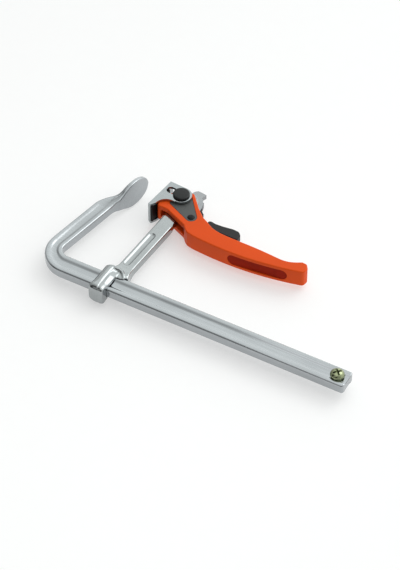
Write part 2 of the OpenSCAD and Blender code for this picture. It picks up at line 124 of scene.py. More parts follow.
def rounded(corners, steps=5):
    """Outline from (x, y, radius) corners, each one rounded by its radius."""
    points = []
    for i, (x, y, radius) in enumerate(corners):
        if radius <= 0:
            points.append((x, y))
            continue
        here = Vector((x, y))
        back = Vector(corners[i - 1][:2]) - here
        ahead = Vector(corners[(i + 1) % len(corners)][:2]) - here
        reach_back, reach_ahead = back.length, ahead.length
        back.normalize()
        ahead.normalize()
        half = back.angle(ahead) / 2
        reach = min(radius / math.tan(half), 0.49 * reach_back, 0.49 * reach_ahead)
        radius = reach * math.tan(half)
        centre = here + (back + ahead).normalized() * (radius / math.sin(half))
        start = here + back * reach - centre
        end = here + ahead * reach - centre
        sweep = start.angle_signed(end)
        for k in range(steps + 1):
            a = -sweep * k / steps
            c, s = math.cos(a), math.sin(a)
            points.append((centre.x + start.x * c - start.y * s, centre.y + start.x * s + start.y * c))
    return points


def inset(points, depth):
    """Outline drawn inwards; its points run counterclockwise."""
    result = []
    for i, here in enumerate(points):
        before = Vector(here) - Vector(points[i - 1])
        after = Vector(points[(i + 1) % len(points)]) - Vector(here)
        if before.length < 1e-6:
            before = after
        if after.length < 1e-6:
            after = before
        n1 = Vector((-before.y, before.x)).normalized()
        n2 = Vector((-after.y, after.x)).normalized()
        share = max(0.35, 1 + n1.dot(n2))
        push = (n1 + n2) * (depth / share)
        result.append((here[0] + push.x, here[1] + push.y))
    return result


def counterclockwise(points):
    """The same outline, run counterclockwise."""
    area = sum(a[0] * b[1] - b[0] * a[1] for a, b in zip(points, points[1:] + points[:1]))
    return points if area > 0 else points[::-1]


# ---- Modelling steps ----

def deselect():
    bpy.ops.object.select_all(action="DESELECT")


def choose(piece):
    """Select one piece alone and make it active."""
    deselect()
    piece.select_set(True)
    bpy.context.view_layer.objects.active = piece


def apply(piece, kind, **settings):
    """Add one modifier with its settings and apply it."""
    choose(piece)
    step = piece.modifiers.new("step", kind)
    for key, value in settings.items():
        setattr(step, key, value)
    bpy.ops.object.modifier_apply(modifier=step.name)


def skin(name, origin, rings):
    """Extrude a flat ring layer by layer and lay each layer on its ring of (x, y, z) points."""
    count = len(rings[0])
    deselect()
    bpy.ops.mesh.primitive_circle_add(vertices=count, radius=1.0, fill_type="NGON", location=(0, 0, 0))
    piece = bpy.context.object
    piece.name = piece.data.name = name
    bpy.ops.object.mode_set(mode="EDIT")
    bpy.ops.mesh.select_all(action="SELECT")
    for _ in rings[1:]:
        bpy.ops.mesh.extrude_region_move(TRANSFORM_OT_translate={"value": (0, 0, 1)})
    mesh = bmesh.from_edit_mesh(piece.data)
    for vertex in mesh.verts:
        along = math.atan2(-vertex.co.x, vertex.co.y) / (2 * math.pi) * count
        point = rings[round(vertex.co.z)][round(along) % count]
        vertex.co = origin + Vector(point) * MM
    mesh.normal_update()
    bmesh.update_edit_mesh(piece.data)
    bpy.ops.mesh.select_all(action="SELECT")
    bpy.ops.mesh.normals_make_consistent(inside=False)
    bpy.ops.object.mode_set(mode="OBJECT")
    return piece


def slab(name, origin, outline, low, high, rim_low=0.0, rim_high=0.0, steps=4):
    """A plate between two heights, with rounded rims."""
    outline = counterclockwise(outline)
    rings = []
    for i in range(steps + 1 if rim_low else 1):
        a = math.pi / 2 * i / steps
        rings.append((rim_low * (1 - math.sin(a)), low + rim_low * (1 - math.cos(a))))
    for i in range(steps + 1 if rim_high else 1):
        a = math.pi / 2 * i / steps
        rings.append((rim_high * (1 - math.cos(a)), high - rim_high * (1 - math.sin(a))))
    return skin(name, origin, [[(x, y, z) for x, y in inset(outline, d)] for d, z in rings])


def turned(name, origin, profile, count=48):
    """A turned piece from (radius, height) steps."""
    return skin(name, origin, [[(x, y, z) for x, y in arc((0, 0), r, 0, 360 - 360 / count, count - 1)]
                               for r, z in profile])


def cut(piece, cutter):
    """Take the cutter out of the piece and throw it away."""
    apply(piece, "BOOLEAN", operation="DIFFERENCE", object=cutter, solver="EXACT")
    bpy.data.objects.remove(cutter)


def bore(piece, at, radius, count=32):
    """Drill a round hole through the piece, along Z."""
    cut(piece, turned("bore", at, [(radius, -20), (radius, 20)], count))


def weld(piece, other):
    """Join the other to the piece as one solid."""
    apply(piece, "BOOLEAN", operation="UNION", object=other, solver="EXACT")
    bpy.data.objects.remove(other)


def slice_along(piece, normal, places):
    """Add a row of edges across the piece at each place."""
    choose(piece)
    bpy.ops.object.mode_set(mode="EDIT")
    for place in places:
        bpy.ops.mesh.select_all(action="SELECT")
        bpy.ops.mesh.bisect(plane_co=place, plane_no=normal)
    bpy.ops.object.mode_set(mode="OBJECT")


def cad_copy(node, name):
    """A merged copy of a CAD node, its flat faces made whole."""
    source = frame["nodes"][node]
    mesh = source.data.copy()
    mesh.name = name
    mesh.materials.clear()
    piece = bpy.data.objects.new(name, mesh)
    bpy.context.scene.collection.objects.link(piece)
    choose(piece)
    bpy.ops.object.mode_set(mode="EDIT")
    bpy.ops.mesh.select_all(action="SELECT")
    bpy.ops.mesh.remove_doubles(threshold=2e-6)
    bpy.ops.mesh.normals_make_consistent(inside=False)
    bpy.ops.mesh.dissolve_limited(angle_limit=math.radians(1.0))
    bpy.ops.mesh.customdata_custom_splitnormals_clear()
    bpy.ops.object.mode_set(mode="OBJECT")
    return piece


def break_edges(piece, width, angle=40.0, segments=2):
    """Round the sharp edges a little."""
    apply(piece, "BEVEL", width=width * MM, segments=segments, limit_method="ANGLE",
          angle_limit=math.radians(angle), use_clamp_overlap=True, miter_outer="MITER_ARC")


def finish_piece(piece, body, nodes, material, angle=32.0, weigh=True):
    """Shade, colour and hang the piece on its body in place of its nodes."""
    piece.data.materials.clear()
    piece.data.materials.append(material)
    choose(piece)
    bpy.ops.object.shade_smooth_by_angle(angle=math.radians(angle))
    if weigh:
        apply(piece, "WEIGHTED_NORMAL", mode="FACE_AREA", weight=80, keep_sharp=True)
    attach(piece, body)
    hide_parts(*nodes)


def dress(node, material):
    """Give its finish to a CAD node that is kept."""
    slots = frame["nodes"][node].data.materials
    slots.clear()
    slots.append(material)


# ---- Finishes ----

def add(tree, kind, inputs, operation=None):
    """Add a shader node; each input gets a value or a link from another node's output."""
    made = tree.nodes.new(kind)
    if operation:
        made.operation = operation
    for key, value in inputs.items():
        if isinstance(value, bpy.types.NodeSocket):
            tree.links.new(value, made.inputs[key])
        else:
            made.inputs[key].default_value = value
    return made


def finish(name, colour, metallic=0.0, rough=(0.4, 0.5), tone=0.1, blotch=60.0, grain=1200.0,
           stretch=(1.0, 1.0, 1.0), turn_z=0.0, bump=0.1, depth=0.05, specular=0.5):
    """A finish whose tone, gloss and surface vary by soft blotches and a fine grain."""
    made = bpy.data.materials.new(name)
    made.use_nodes = True
    made.diffuse_color = (*colour, 1)
    tree = made.node_tree
    place = tree.nodes.new("ShaderNodeTexCoord").outputs["Object"]
    lay = add(tree, "ShaderNodeMapping", {"Vector": place, "Scale": stretch,
                                          "Rotation": (0, 0, math.radians(turn_z))}).outputs["Vector"]
    wide = add(tree, "ShaderNodeTexNoise", {"Vector": place, "Scale": blotch, "Detail": 3}).outputs["Fac"]
    fine = add(tree, "ShaderNodeTexNoise", {"Vector": lay, "Scale": grain, "Detail": 4}).outputs["Fac"]
    half = add(tree, "ShaderNodeMath", {0: fine, 1: 0.5}, "MULTIPLY").outputs[0]
    both = add(tree, "ShaderNodeMath", {0: wide, 1: 0.5, 2: half}, "MULTIPLY_ADD").outputs[0]
    ramp = add(tree, "ShaderNodeValToRGB", {"Fac": both})
    dark, light = ramp.color_ramp.elements
    dark.position, light.position = 0.32, 0.68
    dark.color = (*[c * (1 - tone) for c in colour], 1)
    light.color = (*[min(1, c * (1 + tone)) for c in colour], 1)
    gloss = add(tree, "ShaderNodeMapRange", {"Value": both, "From Min": 0.3, "From Max": 0.7,
                                             "To Min": rough[0], "To Max": rough[1]})
    relief = add(tree, "ShaderNodeBump", {"Height": fine, "Strength": bump, "Distance": depth * MM})
    shader = tree.nodes["Principled BSDF"].inputs
    shader["Metallic"].default_value = metallic
    shader["Specular IOR Level"].default_value = specular
    tree.links.new(ramp.outputs["Color"], shader["Base Color"])
    tree.links.new(gloss.outputs["Result"], shader["Roughness"])
    tree.links.new(relief.outputs["Normal"], shader["Normal"])
    return made


# ---- Settings ----

class ClampRailSettings(PropertyGroup):
    edge: FloatProperty(name="Edge radius", description="Rounding of the rail's long edges",
                        default=2.3 * MM, min=0.3 * MM, max=2.5 * MM, unit="LENGTH")
    groove: FloatProperty(name="Groove depth", description="Depth of the groove in the rail's wide faces",
                          default=1.5 * MM, min=0.2 * MM, max=2.0 * MM, unit="LENGTH")
    valley: FloatProperty(name="Arm valley", description="Depth of the soft valley along the fixed arm",
                          default=1.3 * MM, min=0.0, max=1.6 * MM, unit="LENGTH")
    colour: FloatVectorProperty(name="Rail colour", description="Colour of the plated rail",
                                default=(0.39, 0.41, 0.425), min=0, max=1, subtype="COLOR")
    screw: FloatVectorProperty(name="Screw colour", description="Colour of the stop screw's plating",
                               default=(0.27, 0.30, 0.18), min=0, max=1, subtype="COLOR")


class ClampSliderSettings(PropertyGroup):
    soft: FloatProperty(name="Forging grid", description="Grid that the forging's fillets are shaped on",
                        default=0.55 * MM, min=0.45 * MM, max=1.0 * MM, unit="LENGTH")
    hollow: FloatProperty(name="Hollow depth", description="Depth of the long hollow in the stem",
                          default=1.3 * MM, min=0.5 * MM, max=2.0 * MM, unit="LENGTH")
    colour: FloatVectorProperty(name="Arm colour", description="Colour of the plated forging",
                                default=(0.36, 0.38, 0.385), min=0, max=1, subtype="COLOR")
    ratchet: FloatVectorProperty(name="Ratchet colour", description="Colour of the bright ratchet",
                                 default=(0.32, 0.33, 0.34), min=0, max=1, subtype="COLOR")


class ClampJawSettings(PropertyGroup):
    edge: FloatProperty(name="Sheet edge", description="Rounding of the jaw's sheet edges",
                        default=0.45 * MM, min=0.1 * MM, max=1.0 * MM, unit="LENGTH")
    colour: FloatVectorProperty(name="Jaw colour", description="Colour of the plated sheet",
                                default=(0.35, 0.375, 0.385), min=0, max=1, subtype="COLOR")
    cap: FloatVectorProperty(name="Cap colour", description="Colour of the pin's caps and the rivet",
                             default=(0.010, 0.011, 0.012), min=0, max=1, subtype="COLOR")
    liner: FloatVectorProperty(name="Liner colour", description="Colour of the liner behind the jaw's face",
                               default=(0.006, 0.006, 0.0065), min=0, max=1, subtype="COLOR")
    pin: FloatVectorProperty(name="Pin colour", description="Colour of the hardened main pin",
                             default=(0.10, 0.10, 0.11), min=0, max=1, subtype="COLOR")
    bronze: FloatVectorProperty(name="Bronze colour", description="Colour of the bush and the washers",
                                default=(0.50, 0.31, 0.11), min=0, max=1, subtype="COLOR")


class ClampHandleSettings(PropertyGroup):
    rim: FloatProperty(name="Rim radius", description="Rounding of the handle's long rims",
                       default=1.5 * MM, min=0.5 * MM, max=3.0 * MM, unit="LENGTH")
    thin: FloatProperty(name="Grip thinning", description="Share of the head's thickness that the grip keeps",
                        default=0.982, min=0.8, max=1.0, subtype="FACTOR")
    colour: FloatVectorProperty(name="Handle colour", description="Colour of the moulded handle",
                                default=(0.72, 0.077, 0.0075), min=0, max=1, subtype="COLOR")
    inlay: FloatVectorProperty(name="Inlay colour", description="Colour of the soft grip strip",
                               default=(0.29, 0.013, 0.002), min=0, max=1, subtype="COLOR")
    plate: FloatVectorProperty(name="Plate colour", description="Colour of the grey side plates",
                               default=(0.095, 0.100, 0.098), min=0, max=1, subtype="COLOR")
    wire: FloatVectorProperty(name="Spring colour", description="Colour of the lever's spring",
                              default=(0.35, 0.36, 0.38), min=0, max=1, subtype="COLOR")


class ClampTriggerSettings(PropertyGroup):
    rim: FloatProperty(name="Trigger rim", description="Rounding of the release trigger",
                       default=1.6 * MM, min=0.3 * MM, max=3.0 * MM, unit="LENGTH")
    colour: FloatVectorProperty(name="Trigger colour", description="Colour of the moulded trigger",
                                default=(0.012, 0.012, 0.013), min=0, max=1, subtype="COLOR")
    blade: FloatVectorProperty(name="Blade colour", description="Colour of the release blade",
                               default=(0.03, 0.03, 0.033), min=0, max=1, subtype="COLOR")


class ClampStageSettings(PropertyGroup):
    key: FloatProperty(name="Key light", description="Strength of the large soft light",
                       default=4.5, min=0.0)
    table: FloatProperty(name="Table light", description="Strength of the light that the floor gives off",
                         default=0.44, min=0.0)
    sky: FloatProperty(name="Room light", description="Strength of the even light around",
                       default=1.5, min=0.0)
    floor: FloatVectorProperty(name="Floor colour", description="Colour of the plain floor",
                               default=(0.55, 0.55, 0.55), min=0, max=1, subtype="COLOR")


# ---- Rail ----

# Middle of the bend's outer arc above the rail's middle, and of its inner arc along the rail
BEND_RISE = BEND_OUTER - HALF_WIDE
BEND_SHIFT = -5.07
# Along the rail: the stop screw with its hole's radius, and the rounded end with its bulge
SCREW_X, SCREW_BORE = 342.0, 4.1
END_X, END_BULGE = 352.0, 2.98
# How much the free end narrows and thins where it rounds off
END_NARROW, END_THIN = 3.0, 0.6
# Corner radius that the arm's valley keeps clear of, and the largest one along the inner edge
VALLEY_CORNER, FAR_CORNER = 1.8, 2.2
# Where the groove's walls start, from the outer and from the inner edge, and the widths of the walls
GROOVE_OUTER, GROOVE_INNER = 4.5, 4.8
SOFT_WALL, CRISP_WALL, ARM_WALL = 5.0, 4.6, 2.8
# Share of the change from groove to valley that the bend itself takes
BEND_SHARE = 0.35
# Along the arm: where the oval pad's widest section lies, and the pad's half height and reach beyond it
PAD_AT, PAD_HALF, PAD_REACH = 119.0, 17.2, 23.0


def arm_point(x, s):
    """A plan point given across and along the leaning arm."""
    px, py = turn(-ARM_LEAN, (x, s))
    return (px, BEND_RISE + py)


def rail_ring(outer, inner, half, corner, marks, depth, shelf=None):
    """One section of the bar between its outer and inner plan points; `shelf` is the outer half height."""
    span = Vector(inner) - Vector(outer)
    width = span.length
    span.normalize()
    shelf = shelf or half
    near = min(corner, 0.9 * shelf, 0.42 * width)
    far = min(corner, 0.9 * half, 0.42 * width, FAR_CORNER)
    a0, a1, b0, b1 = marks
    top = [(v, z + shelf - near) for v, z in arc((near, 0), near, 180, 90, 4)]
    places = [a0 + (a1 - a0) * k / 5 for k in range(6)] + [a1 + (b0 - a1) * k / 3 for k in (1, 2)]
    places += [b0 + (b1 - b0) * k / 5 for k in range(6)]
    foot = max(near, width - 11)
    for v in places:
        drop = depth * smoothstep((v - a0) / (a1 - a0)) * smoothstep((b1 - v) / (b1 - b0))
        rise = (half - shelf) * smoothstep((v - foot) / max(1.0, width - 3.5 - foot))
        top.append((v, shelf + rise - drop))
    top += [(v, z + half - far) for v, z in arc((width - far, 0), far, 90, 0, 4)]
    side = [(width, (half - far) * (1 - k / 3)) for k in range(1, 6)]
    low = [(v, -z) for v, z in reversed(top)]
    back = [(0, -(shelf - near) * (1 - k / 3)) for k in range(1, 6)]
    ring = top + side + low + back
    return [(outer[0] + span.x * v, outer[1] + span.y * v, z) for v, z in ring]


def bar_marks(width, crisp=CRISP_WALL):
    """Where the groove's two walls start and end across the bar: a soft outer wall, a crisp inner one."""
    foot = width - GROOVE_INNER
    return (GROOVE_OUTER, GROOVE_OUTER + SOFT_WALL, foot - crisp, foot)


def arm_marks(width, corner):
    """Where the arm's soft valley starts and ends across the arm."""
    run = width - 2 * corner
    return tuple(corner + run * f for f in (0.05, 0.42, 0.58, 0.95))


def blend_marks(a, b, t):
    """Marks between two sets of marks."""
    return tuple(p + (q - p) * t for p, q in zip(a, b))


# Along the arm: outer edge, inner edge, half height at the inner edge and at the outer one, corner radius
ARM_TABLE = [
    (0, -37, -17, 6.0, 6.0, 1.9), (72, -37, -17, 6.0, 6.0, 2.0), (76, -36.8, -17, 6.05, 6.0, 2.2),
    (80, -36.1, -17, 6.4, 6.0, 2.6), (84, -34.9, -17, 7.0, 6.0, 3.0), (86, -34.1, -16.7, 7.4, 6.0, 3.2),
    (88, -33.2, -16.0, 7.9, 6.0, 3.4), (90, -32.2, -15.3, 8.4, 6.0, 3.6), (92, -31.0, -15.0, 9.0, 6.1, 3.8),
    (96, -27.8, -15.0, 10.5, 6.8, 3.8), (98, -26.1, -15.0, 11.3, 7.8, 3.6),
    (100, -24.4, -15.0, 12.4, 9.2, 3.2), (103, -22.3, -15.0, 14.0, 12.0, 2.6),
    (106, -21.2, -15.0, 15.2, 14.4, 2.0), (110, -20.5, -15.0, 16.4, 16.3, 1.6),
    (114, -20.2, -15.0, 17.0, 17.0, 1.4), (PAD_AT, -20.0, -15.0, PAD_HALF, PAD_HALF, 1.3),
]


def bar_rings(edge, groove):
    """Sections of the straight bar, from its rounded free end to the start of the bend."""
    width = 2 * HALF_WIDE
    rings = []
    for k in range(7):
        a = math.radians(15 * k)
        half_y = HALF_WIDE - END_NARROW * (1 - math.sin(a))
        half_z = HALF_THICK - END_THIN * (1 - min(1.0, math.sin(a) * 1.6))
        lift = HALF_WIDE - half_y
        marks = tuple(mark - lift for mark in bar_marks(width))
        x = END_X + END_BULGE * math.cos(a)
        depth = groove - HALF_THICK + half_z
        rings.append(rail_ring((x, -half_y), (x, half_y), half_z, edge, marks, depth))
    for x in range(340, -1, -20):
        rings.append(rail_ring((x, -HALF_WIDE), (x, HALF_WIDE), HALF_THICK, edge, bar_marks(width), groove))
    return rings


def bend_rings(edge, groove, valley, count=26):
    """Sections round the bend; the groove starts to turn into the arm's valley."""
    rings = []
    for k in range(count + 1):
        a = math.radians(270 - (90 + ARM_LEAN) * k / count)
        outer = (BEND_OUTER * math.cos(a), BEND_RISE + BEND_OUTER * math.sin(a))
        inner = (BEND_SHIFT + BEND_INNER * math.cos(a), BEND_RISE + BEND_INNER * math.sin(a))
        width = (Vector(inner) - Vector(outer)).length
        t = BEND_SHARE * smoothstep(k / count * 1.6 - 0.6)
        first = bar_marks(width, CRISP_WALL - (CRISP_WALL - ARM_WALL) * smoothstep(k / count * 2))
        marks = blend_marks(first, arm_marks(width, VALLEY_CORNER), t)
        rings.append(rail_ring(outer, inner, HALF_THICK, edge, marks, groove + (valley - groove) * t))
    return rings


def arm_rings(groove, valley):
    """Sections along the leaning arm, through its neck to the tip of the oval pad."""
    places = [3, 6, 10, 14, 19, 24, 34, 44, 54, 64, 72, *range(76, 116, 2), 116.5, PAD_AT]
    places += [PAD_AT + PAD_REACH * math.sin(math.radians(6 * k)) for k in range(1, 15)]
    rings = []
    for s in places + [PAD_AT + PAD_REACH - 0.07]:
        outer, inner, half, shelf, corner = table(ARM_TABLE, s)
        if s > PAD_AT:
            half = shelf = PAD_HALF * math.sqrt(1 - ((s - PAD_AT) / PAD_REACH) ** 2)
            thin = smoothstep((s - 138) / 4)
            outer, inner = -20 + 0.9 * thin, -15 - 0.5 * thin
        width = inner - outer
        t = BEND_SHARE + (1 - BEND_SHARE) * smoothstep(s / 34)
        depth = (groove + (valley - groove) * t) * (1 - smoothstep((s - 70) / 22))
        marks = arm_marks(width, min(corner, 0.42 * width, 0.9 * half))
        if s < 80:
            marks = blend_marks(bar_marks(width, ARM_WALL), arm_marks(width, VALLEY_CORNER), t)
        rings.append(rail_ring(arm_point(outer, s), arm_point(inner, s), half, corner, marks, depth, shelf))
    return rings


class CLAMP_OT_rail(Operator):
    """Build the grooved rail with its bend, its fixed arm and the oval pad"""
    bl_idname = "clamp.rail"
    bl_label = "Rail and fixed arm"

    def execute(self, context):
        sizes = context.scene.clamp_rail
        edge, groove, valley = sizes.edge / MM, sizes.groove / MM, sizes.valley / MM
        rings = bar_rings(edge, groove) + bend_rings(edge, groove, valley) + arm_rings(groove, valley)
        piece = skin("rail_bar", BEND, rings)
        bore(piece, BEND + Vector((SCREW_X * MM, 0, 0)), SCREW_BORE)
        steel = finish("plated rail steel", sizes.colour, metallic=1.0, rough=(0.11, 0.19), tone=0.09,
                       blotch=25, grain=700, stretch=(0.04, 1.0, 1.0), bump=0.08, depth=0.02)
        finish_piece(piece, "rail_body", ["rail"], steel, 40)
        return {"FINISHED"}


class CLAMP_OT_stop_screw(Operator):
    """Build the cross-slotted stop screw at the rail's free end"""
    bl_idname = "clamp.stop_screw"
    bl_label = "Stop screw"

    def execute(self, context):
        sizes = context.scene.clamp_rail
        at = BEND + Vector((SCREW_X * MM, 0, 0))
        profile = [(3.2, -5.5), (3.95, -4.7), (3.95, 4.45), (5.8, 4.5), (6.1, 6.05), (7.5, 6.1), (8.0, 6.6),
                   (8.0, 7.6), (7.8, 8.6), (7.2, 9.7), (6.2, 10.7), (4.8, 11.4), (3.0, 11.85), (1.0, 12.0)]
        piece = turned("stop_screw_head", at, profile, 56)
        corners = ((-1, -1), (1, -1), (1, 1), (-1, 1))
        for angle in (45, 135):
            slot = [[(*turn(angle, (x * length, y * breadth)), z) for x, y in corners]
                    for length, breadth, z in ((2.4, 0.7, 8.2), (5.9, 1.2, 12.4))]
            cut(piece, skin("slot", at, slot))
        break_edges(piece, 0.12, 35)
        plating = finish("yellow zinc", sizes.screw, metallic=1.0, rough=(0.05, 0.12), tone=0.30,
                         blotch=300, grain=1500)
        finish_piece(piece, "rail_body", ["stop_screw"], plating, 35)
        return {"FINISHED"}


# ---- Sliding arm ----

# Collar along the rail: place, half width, half height, corner radius, half heights at the near and the far
# end, and how far the middle bows out
COLLAR_TABLE = [
    (-9.5, 19.6, 7.4, 3.4, 9.2, 7.4, 0), (-9.2, 20.4, 8.1, 4, 10.0, 8.1, 0),
    (-8.4, 21.2, 9.1, 5, 11.0, 9.1, 0.1), (-7.2, 21.8, 9.9, 5.6, 11.8, 9.9, 0.3),
    (-5.6, 22.2, 10.8, 6, 12.4, 10.8, 0.6),
    (-3.8, 22.4, 11.5, 6, 12.8, 11.4, 1.0), (-1.8, 22.6, 12.0, 6, 13.0, 11.7, 1.4),
    (0.2, 22.6, 12.2, 6, 13.0, 11.6, 1.6), (1.4, 22.6, 12.1, 5.6, 13.0, 11.0, 1.6),
    (2.3, 22.5, 11.5, 5.2, 12.5, 10.2, 1.6), (3.2, 22.4, 11.1, 5, 12.2, 9.5, 1.5),
    (4.6, 22.4, 11.3, 5, 12.5, 9.0, 1.3), (5.8, 22.3, 11.1, 4.6, 12.4, 8.6, 1.0),
    (6.9, 22.1, 10.5, 4.2, 12.0, 8.2, 0.7), (7.9, 21.9, 10.0, 3.8, 11.6, 8.0, 0.4),
    (8.8, 21.6, 9.5, 3.4, 11.0, 7.9, 0.2), (9.3, 21.1, 9.0, 3, 10.4, 7.8, 0),
    (9.5, 20.3, 8.2, 2.4, 9.4, 7.4, 0),
]
# Foot of the stem, up from the rail's middle: place, left, right, half height
FOOT_TABLE = [
    (12.9, -8.6, 22.6, 6.6), (14.5, -8.8, 22.4, 6.9), (17, -8.4, 21.5, 7.2), (19.5, -6.8, 20.6, 7.4),
    (22, -3.8, 20.0, 7.2), (24.5, -1.6, 19.6, 6.5), (27.5, -0.4, 19.3, 5.9), (31, 0.35, 18.95, 5.6),
]
# Collar's middle across the rail; the straight stem's half width and half thickness
COLLAR_MID = 0.7
STEM_HALF, STEM_THICK = 9.25, 5.5
# Main pin, counted from the collar; the eye and the ratchet's ear round it, and the two rivets' places
PIVOT_XY = (9.7, 154.0)
EYE_R, EAR_R = 12.4, 19.5
EAR_FROM, EAR_TO = -24, 62
TONGUE_HALF = 4.5
RIVETS_R, RIVET_ANGLES = 16.6, (12, 46)
# Holes for the bush and for the two rivets, and the slot that the ratchet's plate sits in
BUSH_BORE, RIVET_HOLE = 8.1, 2.05
SLOT_R, SLOT_FROM, SLOT_TO, SLOT_HALF = 13.45, -42, 78, 3.05
# Hollow of the stem: half width, length between its round ends, and its low end's place in the stem
HOLLOW_HALF, HOLLOW_LONG = 4.5, 51
HOLLOW_LEFT, HOLLOW_LOW = 2.2, 36.3
# Opening that the rail runs through: half width, half height
MOUTH_WIDE, MOUTH_HIGH = 12.8, 6.3
# The handle's head as it reaches into the stem when closed, counted from the pin
HEAD_NEAR = ((-5, -24.6), (24.4, -37.8))
STEP_IN = (29.5, -43.2)


def box_ring(half_y, half_z, corner, along, mid_y=0.0, near_z=0.0, far_z=0.0, bow=0.0):
    """A rounded rectangle across the rail; `near_z` and `far_z` are its half heights towards its two ends."""
    near = (near_z or half_z) / half_z - 1
    far = (far_z or half_z) / half_z - 1
    corner = min(corner, half_z * 0.95)
    points = []

    def place(y, z):
        share = 1 + near * smoothstep(-(y + 6) / 12) + far * smoothstep((y - 5) / 7)
        return (along - bow * max(0.0, 1 - (y / 18) ** 2), mid_y + y, z * share)

    for sy, sz, start in ((1, 1, 0), (-1, 1, 90), (-1, -1, 180), (1, -1, 270)):
        centre = (sy * (half_y - corner), sz * (half_z - corner))
        points += [place(y, z) for y, z in arc(centre, corner, start, start + 90, 6)]
        if sz * sy > 0:
            points += [place(sy * (half_y - corner) * (1 - k / 4), sz * half_z) for k in range(1, 8)]
    return points


def bead(name, origin, path, radius):
    """A round bead laid along a path, with narrowed ends."""
    rings = []
    for i, here in enumerate(path):
        along = (Vector(path[min(i + 1, len(path) - 1)]) - Vector(path[max(i - 1, 0)])).normalized()
        across = along.cross(Vector((0, 0, 1))).normalized()
        up = across.cross(along)
        r = radius * (0.6 if i in (0, len(path) - 1) else 1)
        rings.append([Vector(here) + across * x + up * y for x, y in arc((0, 0), r, 0, 330, 11)])
    return skin(name, origin, rings)


def stem_x(y):
    """Middle of the leaning stem at a height above the rail's middle."""
    return 9 + (y - HALF_WIDE) * math.tan(math.radians(STEM_LEAN))


def stem_ring(left, right, half_z, y, corner=1.6):
    """One rounded section of the stem."""
    points = []
    mid, half = (left + right) / 2, (right - left) / 2
    for sx, sz, start in ((1, 1, 0), (-1, 1, 90), (-1, -1, 180), (1, -1, 270)):
        centre = (sx * (half - corner), sz * (half_z - corner))
        points += [(mid + x, y, z) for x, z in arc(centre, corner, start, start + 90, 4)]
    return points


def from_pivot(point, dx, dy):
    """A point of the closed handle, counted from the collar and moved a little for clearance."""
    x, y = turn(-CLOSE, point)
    return (PIVOT_XY[0] + x + dx, PIVOT_XY[1] + y + dy)


def forging():
    """Collar and stem with the lip and the arched rims, melted into one forged body."""
    collar = [box_ring(y, z, r, x, COLLAR_MID, near, far, bow) for x, y, z, r, near, far, bow in COLLAR_TABLE]
    body = skin("slider_forging", COLLAR, collar)
    rings = [stem_ring(left, right, half, y) for y, left, right, half in FOOT_TABLE]
    for y in range(36, 135, 14):
        rings.append(stem_ring(stem_x(y) - STEM_HALF, stem_x(y) + STEM_HALF, STEM_THICK, y))
    weld(body, skin("stem", COLLAR, rings))
    lip = rounded([(6, 8, 1.5), (14, 8.2, 3), (18.6, 10.5, 3), (20.4, 14, 2.5), (20.0, 18.5, 2), (6, 20, 2)])
    weld(body, slab("lip", COLLAR, lip, -7.5, 7.5, 1.2, 1.2))
    arch = [(-3, 17.5, 9.8), (2, 19.2, 9.3), (6.5, 19.7, 8.4), (10.8, 18.9, 7.4), (14.4, 16.2, 6.8),
            (16.8, 12.6, 6.2), (17.8, 9.8, 5.6)]
    for side in (1, -1):
        weld(body, bead("arch_rim", COLLAR, [(x, y, z * side) for x, y, z in arch], 2.2))
    return body


def hollow(side, depth):
    """The long dished hollow of one face of the stem, from rows of (inset, share of the depth)."""
    rings = []
    for inward, share in ((3.6, 1.0), (2.8, 0.96), (2.0, 0.82), (1.3, 0.60), (0.7, 0.33), (0.25, 0.12),
                          (0.0, -0.1), (-0.1, -0.8)):
        low = arc((0, 0), HOLLOW_HALF - inward, 180, 360, 12)
        high = arc((0, HOLLOW_LONG), HOLLOW_HALF - inward, 0, 180, 12)
        ring = [turn(-STEM_LEAN, p) for p in low + high]
        z = (STEM_THICK - depth * share) * side
        rings.append([(stem_x(38) - HOLLOW_LEFT + x, HOLLOW_LOW + y, z) for x, y in ring])
    return skin("recess", COLLAR, rings)


def beyond_head():
    """The room that the closed handle's head needs beside the tongue."""
    left, right = from_pivot(HEAD_NEAR[0], 0, -0.6), from_pivot(HEAD_NEAR[1], -0.4, -0.6)
    low = from_pivot(STEP_IN, -0.6, -0.6)
    return [(left[0] - 9, left[1] + 8.3), left, right, low, (40, 100), (40, 150), (-12, 150)]


def tongue_plan():
    """The thin end of the stem with the eye round the pin and the ear for the ratchet."""
    x_left, x_right = stem_x(126) - STEM_HALF, stem_x(104) + STEM_HALF
    neck = rounded([(x_left - 0.8, 100, 0), (x_right - 0.6, 100, 0), (x_right - 0.3, 113, 2), (20.2, 117, 2),
                    (19.2, 148, 0)])
    ear = arc(PIVOT_XY, EAR_R, EAR_FROM, EAR_TO, 16)
    return neck + ear + arc(PIVOT_XY, EYE_R, EAR_TO + 4, 180, 18) + [(-1.3, 148), (x_left, 137)]


